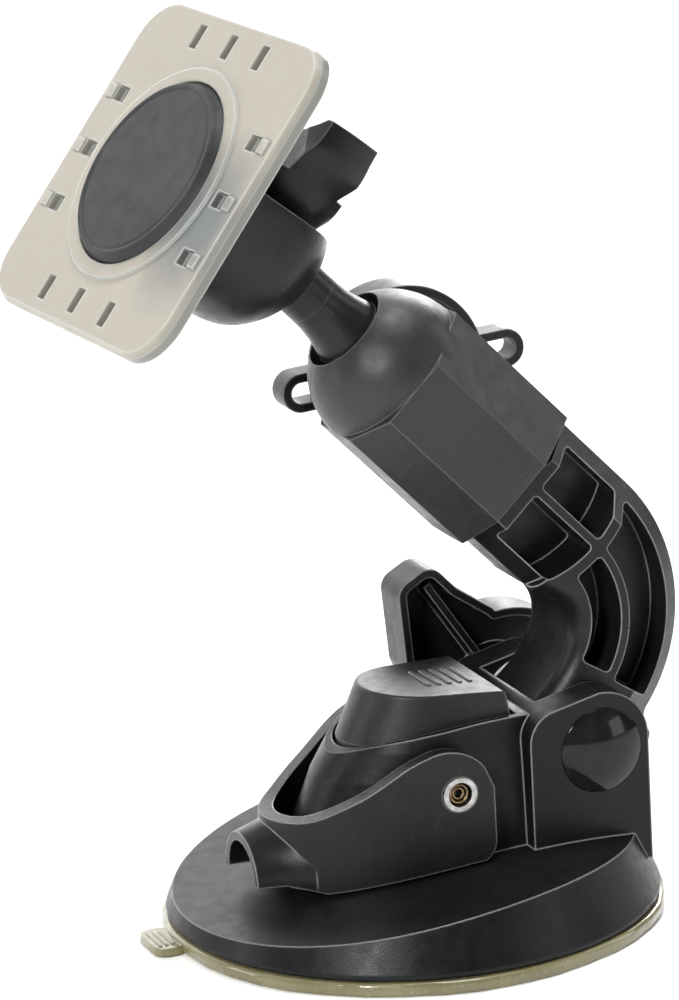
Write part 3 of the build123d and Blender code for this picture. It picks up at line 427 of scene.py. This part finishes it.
def make_materials():
    return {
        # Each edge colour below is a painted highlight along sharp edges.
        "black": moulded("black_moulding", (0.0050, 0.0052, 0.0056), (0.0105, 0.0110, 0.0118), rough=0.33,
                         edge=(0.27, 0.275, 0.28), radius=0.00045),
        "sleeve": moulded("sleeve_moulding", (0.0135, 0.0135, 0.0130), (0.0225, 0.0225, 0.0220), rough=0.42,
                          edge=(0.10, 0.10, 0.10), radius=0.0004, speck=0.5, shine=0.38),
        "button": moulded("button_moulding", (0.011, 0.0115, 0.0125), (0.019, 0.0195, 0.021), rough=0.38),
        "disc": moulded("base_moulding", (0.0045, 0.0047, 0.0050), (0.0095, 0.0099, 0.0105), rough=0.35,
                        edge=(0.26, 0.265, 0.27), shine=0.18),
        "seam": moulded("seam_moulding", (0.0080, 0.0084, 0.0088), (0.0140, 0.0145, 0.0152), rough=0.36,
                        edge=(0.030, 0.031, 0.032), radius=0.0003),
        "steel": metal("plated_steel", (0.30, 0.295, 0.285), (0.50, 0.49, 0.475), 0.30),
        "bronze": metal("rolled_pin", (0.16, 0.11, 0.06), (0.34, 0.24, 0.13), 0.32),
        "spring": metal("spring_steel", (0.35, 0.35, 0.36), (0.50, 0.50, 0.50), 0.35),
        "cap": polished("cap_gloss", (0.006, 0.006, 0.0065)),
        "plate": frosted("frosted_plate"),
        "pad": rubber("pad_rubber", (0.013, 0.014, 0.0155), (0.020, 0.021, 0.023), 0.5, 3000.0),
        "cup": rubber("cup_rubber", (0.012, 0.012, 0.012), (0.020, 0.020, 0.020), 0.6, 1800.0),
        "gel": clear_gel("clear_gel"),
        "acetal": acetal("seat_acetal"),
    }


# Which CAD nodes each finish dresses; the other finishes are for the pieces made below.
DRESSED = {
    "black": ("lock_lever", "arm", "neck", "head_housing", "head_knob", "sleeve_knob", "tilt_knob",
              "cup_stud", "lever_cam"),
    "disc": ("base_shell",),
    "sleeve": ("sleeve_front", "sleeve_rear"),
    "button": ("press_button",),
    "cap": ("bolt_cap",),
    "plate": ("clip_plate",),
    "acetal": ("sleeve_ball_seat", "head_ball_seat", "head_shoe", "pivot_washers"),
    "steel": ("lever_pin", "pivot_bolt", "sleeve_screws", "clamp_screw", "sleeve_knob_nut",
              "tilt_knob_nut", "head_screw", "plate_screws"),
    "spring": ("cup_spring", "button_springs"),
}


def dress_nodes(finishes):
    for finish, names in DRESSED.items():
        for name in names:
            materials = nodes[name].data.materials
            materials.clear()
            materials.append(finishes[finish])


# ------------------------------------------------------------------ mesh helpers
ARC_STEPS = 5
CORNER_STEPS = 4
TUBE_STEPS = 48


def solid(name, build, material, body, smooth=35.0):
    """A new piece from a function that fills a bmesh given in millimetres."""
    work = bmesh.new()
    build(work)
    bmesh.ops.recalc_face_normals(work, faces=work.faces)
    bmesh.ops.scale(work, vec=(MM, MM, MM), verts=work.verts)
    mesh = bpy.data.meshes.new(name)
    work.to_mesh(mesh)
    work.free()
    mesh.materials.append(material)
    piece = bpy.data.objects.new(name, mesh)
    bpy.context.scene.collection.objects.link(piece)
    mesh.shade_smooth()
    mesh.set_sharp_from_angle(angle=math.radians(smooth))
    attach(piece, body)
    return piece


def turns(steps):
    return [2 * math.pi * k / steps for k in range(steps)]


def spokes(axis, steps):
    """Unit vectors round an axis, evenly spaced."""
    side = axis.orthogonal().normalized()
    other = axis.cross(side)
    return [side * math.cos(turn) + other * math.sin(turn) for turn in turns(steps)]


def skin(work, rings):
    """Faces between rings of equal count; a ring of one vertex closes an end."""
    for low, high in zip(rings, rings[1:]):
        count = max(len(low), len(high))
        for k in range(count):
            after = (k + 1) % count
            if len(low) == 1:
                work.faces.new((low[0], high[k], high[after]))
            elif len(high) == 1:
                work.faces.new((low[k], low[after], high[0]))
            else:
                work.faces.new((low[k], low[after], high[after], high[k]))


def lathe(work, centre, axis, profile, steps):
    """Turn (radius, height) points about a unit axis; the first and last points lie on it."""
    rings = []
    for radius, height in profile:
        level = centre + axis * height
        if radius == 0:
            rings.append([work.verts.new(level)])
        else:
            rings.append([work.verts.new(level + spoke * radius) for spoke in spokes(axis, steps)])
    skin(work, rings)


def tube(work, centre, axis, section):
    """A closed section of (radius, height) points turned about a unit axis."""
    rings = [[work.verts.new(centre + spoke * r + axis * h) for r, h in section]
             for spoke in spokes(axis, TUBE_STEPS)]
    skin(work, rings + rings[:1])


def arc(centre, radius, start, stop):
    """Points (radius, height) round a corner, angles in degrees."""
    angles = [math.radians(start + (stop - start) * k / ARC_STEPS) for k in range(ARC_STEPS + 1)]
    return [(centre[0] + radius * math.cos(a), centre[1] + radius * math.sin(a)) for a in angles]


def rounded_rect(centre, across, along, width, length, radius):
    points = []
    for sx, sy, start in ((1, 1, 0), (-1, 1, 90), (-1, -1, 180), (1, -1, 270)):
        for k in range(CORNER_STEPS + 1):
            turn = math.radians(start + 90 * k / CORNER_STEPS)
            x = sx * (width / 2 - radius) + radius * math.cos(turn)
            y = sy * (length / 2 - radius) + radius * math.sin(turn)
            points.append(centre + across * x + along * y)
    return points


def prism(work, outline, up, height, inset):
    """A closed outline raised along a unit vector, its top drawn in towards the middle."""
    middle = sum(outline, Vector()) / len(outline)
    low = [work.verts.new(p) for p in outline]
    high = [work.verts.new(p + (middle - p).normalized() * inset + up * height) for p in outline]
    work.faces.new(low)
    work.faces.new(high)
    skin(work, [low, high])


def surface_height(name, x, y):
    """Top of a CAD node above a place in plan, in millimetres."""
    tree = BVHTree.FromObject(nodes[name], bpy.context.evaluated_depsgraph_get())
    hit = tree.ray_cast(Vector((x * MM, y * MM, 1.0)), Vector((0, 0, -1)))
    return hit[0].z / MM


# ------------------------------------------------------------------ the head's details
PAD_R = 16.75
PAD_ROOT = 0.7
PAD_STEPS = 160
POCKET_REACH = 22.6
POCKET_PITCH = 10.5
RAMP_OUT = 3.2
RAMP_WIDTH = 2.6
RAMP_LENGTH = 2.9
RAMP_RISE = 0.38


def grip_pad(work):
    """Round pad: a dished face, a shallow groove, a thin bead and a bevelled flank."""
    dish = [(0, -0.20), (9, -0.18), (13.6, -0.12), (14.3, -0.14)]
    groove = [(14.55, -0.34), (14.85, -0.34), (15.1, -0.08)]
    bead = arc((15.45, -0.34), 0.30, 110, 20)
    flank = [(16.1, -1.0), (PAD_R - 0.25, -1.5), (PAD_R, -PAD_PROUD)]
    root = [(PAD_R, -PAD_PROUD - PAD_ROOT), (0, -PAD_PROUD - PAD_ROOT)]
    lathe(work, face_centre, face_normal, dish + groove + bead + flank + root, PAD_STEPS)


def plate_ramps(work):
    """Low ramps between the side pockets and the plate's edge."""
    plate = face_centre - face_normal * PAD_PROUD
    for side in (-1, 1):
        for step in (-POCKET_PITCH, 0, POCKET_PITCH):
            centre = plate + head_right * side * (POCKET_REACH + RAMP_OUT) + head_up * step
            outline = rounded_rect(centre, head_right, head_up, RAMP_WIDTH, RAMP_LENGTH, radius=0.3)
            prism(work, outline, face_normal, RAMP_RISE, inset=0.40)


# ------------------------------------------------------------------ the neck's detail
NECK_SIDE = 4.72
SEAM_BELOW = 20.6
SEAM_LENGTH = 8.6
SEAM_WIDTH = 0.34
SEAM_RISE = 0.22


def neck_seam(work):
    """The parting line's flash along the neck, both sides."""
    for side in (-1, 1):
        out = Vector((0, side, 0))
        centre = lower_ball - neck_along * SEAM_BELOW + out * NECK_SIDE
        across = neck_along.cross(out).normalized()
        outline = rounded_rect(centre, neck_along, across, SEAM_LENGTH, SEAM_WIDTH, radius=0.1)
        prism(work, outline, out, SEAM_RISE, inset=0.06)


# ------------------------------------------------------------------ the base's details
RIB_COUNT = 5
RIB_START = 3.2
RIB_PITCH = 1.9
RIB_WIDTH = 0.8
RIB_LENGTH = 9.0
RIB_RISE = 0.32
RIB_SINK = 0.05
# The button's slope is measured over this run.
SLOPE_RUN = 0.5

# The spring pin's turns, seen at the lever pin's ends: the outer radius, then what each turn inwards loses.
COIL_COUNT = 2
COIL_R = 1.75
COIL_STEP = 0.62
COIL_WALL = 0.42
COIL_SHOULDER = 0.45
COIL_END = 0.55
COIL_SINK = 1.3
COIL_STAGGER = 0.3

GEL_STEPS = 240
GEL_FLAT_EDGE = 2.6
GEL_TOP_ROUND = 0.75
GEL_FOOT_ROUND = 0.55
# The rim's waves: height, count round the disc, phase.
GEL_WAVES = ((0.16, 7, 0.6), (0.09, 17, 0), (0.05, 41, 2))
GEL_TRIM = 0.28
# The waves fade inwards as this power of the radius.
GEL_FADE = 12
TAB_ASIDE = 3.4
TAB_WIDTH = 11.2
TAB_UNDER = 1.6
TAB_BOTTOM = 0.3
TAB_RIBS = 3
TAB_RIB_START = 1.3
TAB_RIB_PITCH = 1.1
TAB_RIB_BOTTOM = 1.5

# Radius and drop below the top, over two stiffening rings.
CUP_TOP = ((0, 0), (13, 0), (15, 0.1), (22, 0.25), (23, 0.1), (24, 0.1), (25, 0.3), (33, 0.45), (34, 0.32),
           (35, 0.32), (36, 0.5))
CUP_STEPS = 128

FORWARD = Vector((1, 0, 0))
SIDEWAYS = Vector((0, 1, 0))
UP = Vector((0, 0, 1))


def button_ribs(work):
    """Raised grip ribs near the rear of the button's top."""
    for k in range(RIB_COUNT):
        x = RIB_START + RIB_PITCH * k
        low = surface_height("press_button", x, 0)
        drop = surface_height("press_button", x + SLOPE_RUN, 0) - low
        along = Vector((SLOPE_RUN, 0, drop)).normalized()
        centre = Vector((x, 0, low - RIB_SINK))
        outline = rounded_rect(centre, along, SIDEWAYS, RIB_WIDTH, RIB_LENGTH, radius=0.38)
        prism(work, outline, along.cross(SIDEWAYS), RIB_RISE, inset=0.10)


def pin_core(work):
    """A rolled spring pin seen inside the hollow lever pin, at both ends."""
    for side in (-1, 1):
        for coil in range(COIL_COUNT):
            face = pin_spot + SIDEWAYS * side * (lever_side - COIL_SINK - COIL_STAGGER * coil)
            outer = COIL_R - COIL_STEP * coil
            inner = outer - COIL_WALL
            section = [(outer, 0), (outer, COIL_SHOULDER), (outer - 0.12, COIL_END),
                       (inner + 0.10, COIL_END), (inner, COIL_SHOULDER), (inner, 0)]
            tube(work, face, SIDEWAYS * side, section)


def gel_disc(work):
    """The sticky gel: a soft-edged disc whose rim wanders a little, with a ribbed pull tab."""
    low, high = (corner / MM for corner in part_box("gel_pad"))
    radius = high.x
    top = high.z
    section = [(0, top), (radius - GEL_FLAT_EDGE, top)]
    section += arc((radius - GEL_TOP_ROUND, top - GEL_TOP_ROUND), GEL_TOP_ROUND, 90, 0)
    section += arc((radius - GEL_TOP_ROUND, GEL_FOOT_ROUND), GEL_FOOT_ROUND, 0, -90) + [(0, 0)]
    rings = []
    for r, z in section:
        if r == 0:
            rings.append([work.verts.new((0, 0, z))])
            continue
        ring = []
        for turn in turns(GEL_STEPS):
            wander = sum(height * math.sin(count * turn + phase) for height, count, phase in GEL_WAVES)
            reach = r - (GEL_TRIM - wander) * (r / radius) ** GEL_FADE
            ring.append(work.verts.new((reach * math.cos(turn), reach * math.sin(turn), z)))
        rings.append(ring)
    skin(work, rings)
    tab_length = -low.x - radius + TAB_UNDER
    tab = Vector((low.x + tab_length / 2, TAB_ASIDE, TAB_BOTTOM))
    outline = rounded_rect(tab, FORWARD, SIDEWAYS, tab_length, TAB_WIDTH, radius=2.3)
    prism(work, outline, UP, height=1.25, inset=0.25)
    for k in range(TAB_RIBS):
        rib = Vector((low.x + TAB_RIB_START + TAB_RIB_PITCH * k, TAB_ASIDE, TAB_RIB_BOTTOM))
        outline = rounded_rect(rib, FORWARD, SIDEWAYS, width=0.5, length=7.6, radius=0.2)
        prism(work, outline, UP, height=0.28, inset=0.06)


def cup_disc(work):
    """The rubber cup above the gel, with two stiffening rings."""
    low, high = (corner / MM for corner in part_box("suction_cup"))
    profile = [(radius, high.z - drop) for radius, drop in CUP_TOP]
    rim = [(high.x - 0.4, high.z - 0.5), (high.x, high.z - 0.8)]
    profile += rim + [(high.x, low.z), (0, low.z)]
    lathe(work, Vector(), UP, profile, CUP_STEPS)


def make_details(finishes):
    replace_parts(solid("pad_face", grip_pad, finishes["pad"], "head"), "grip_pad")
    solid("plate_ramps", plate_ramps, finishes["plate"], "head", 20.0)
    solid("neck_seam", neck_seam, finishes["seam"], "neck")
    solid("button_ribs", button_ribs, finishes["button"], "button")
    solid("pin_core", pin_core, finishes["bronze"], "lever")
    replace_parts(solid("gel_disc", gel_disc, finishes["gel"], "base"), "gel_pad")
    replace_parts(solid("cup_disc", cup_disc, finishes["cup"], "base"), "suction_cup")


# ------------------------------------------------------------------ make it all
make_camera()
make_lights()
make_floor()
finishes = make_materials()
dress_nodes(finishes)
make_details(finishes)
bpy.context.scene.view_settings.view_transform = "Standard"
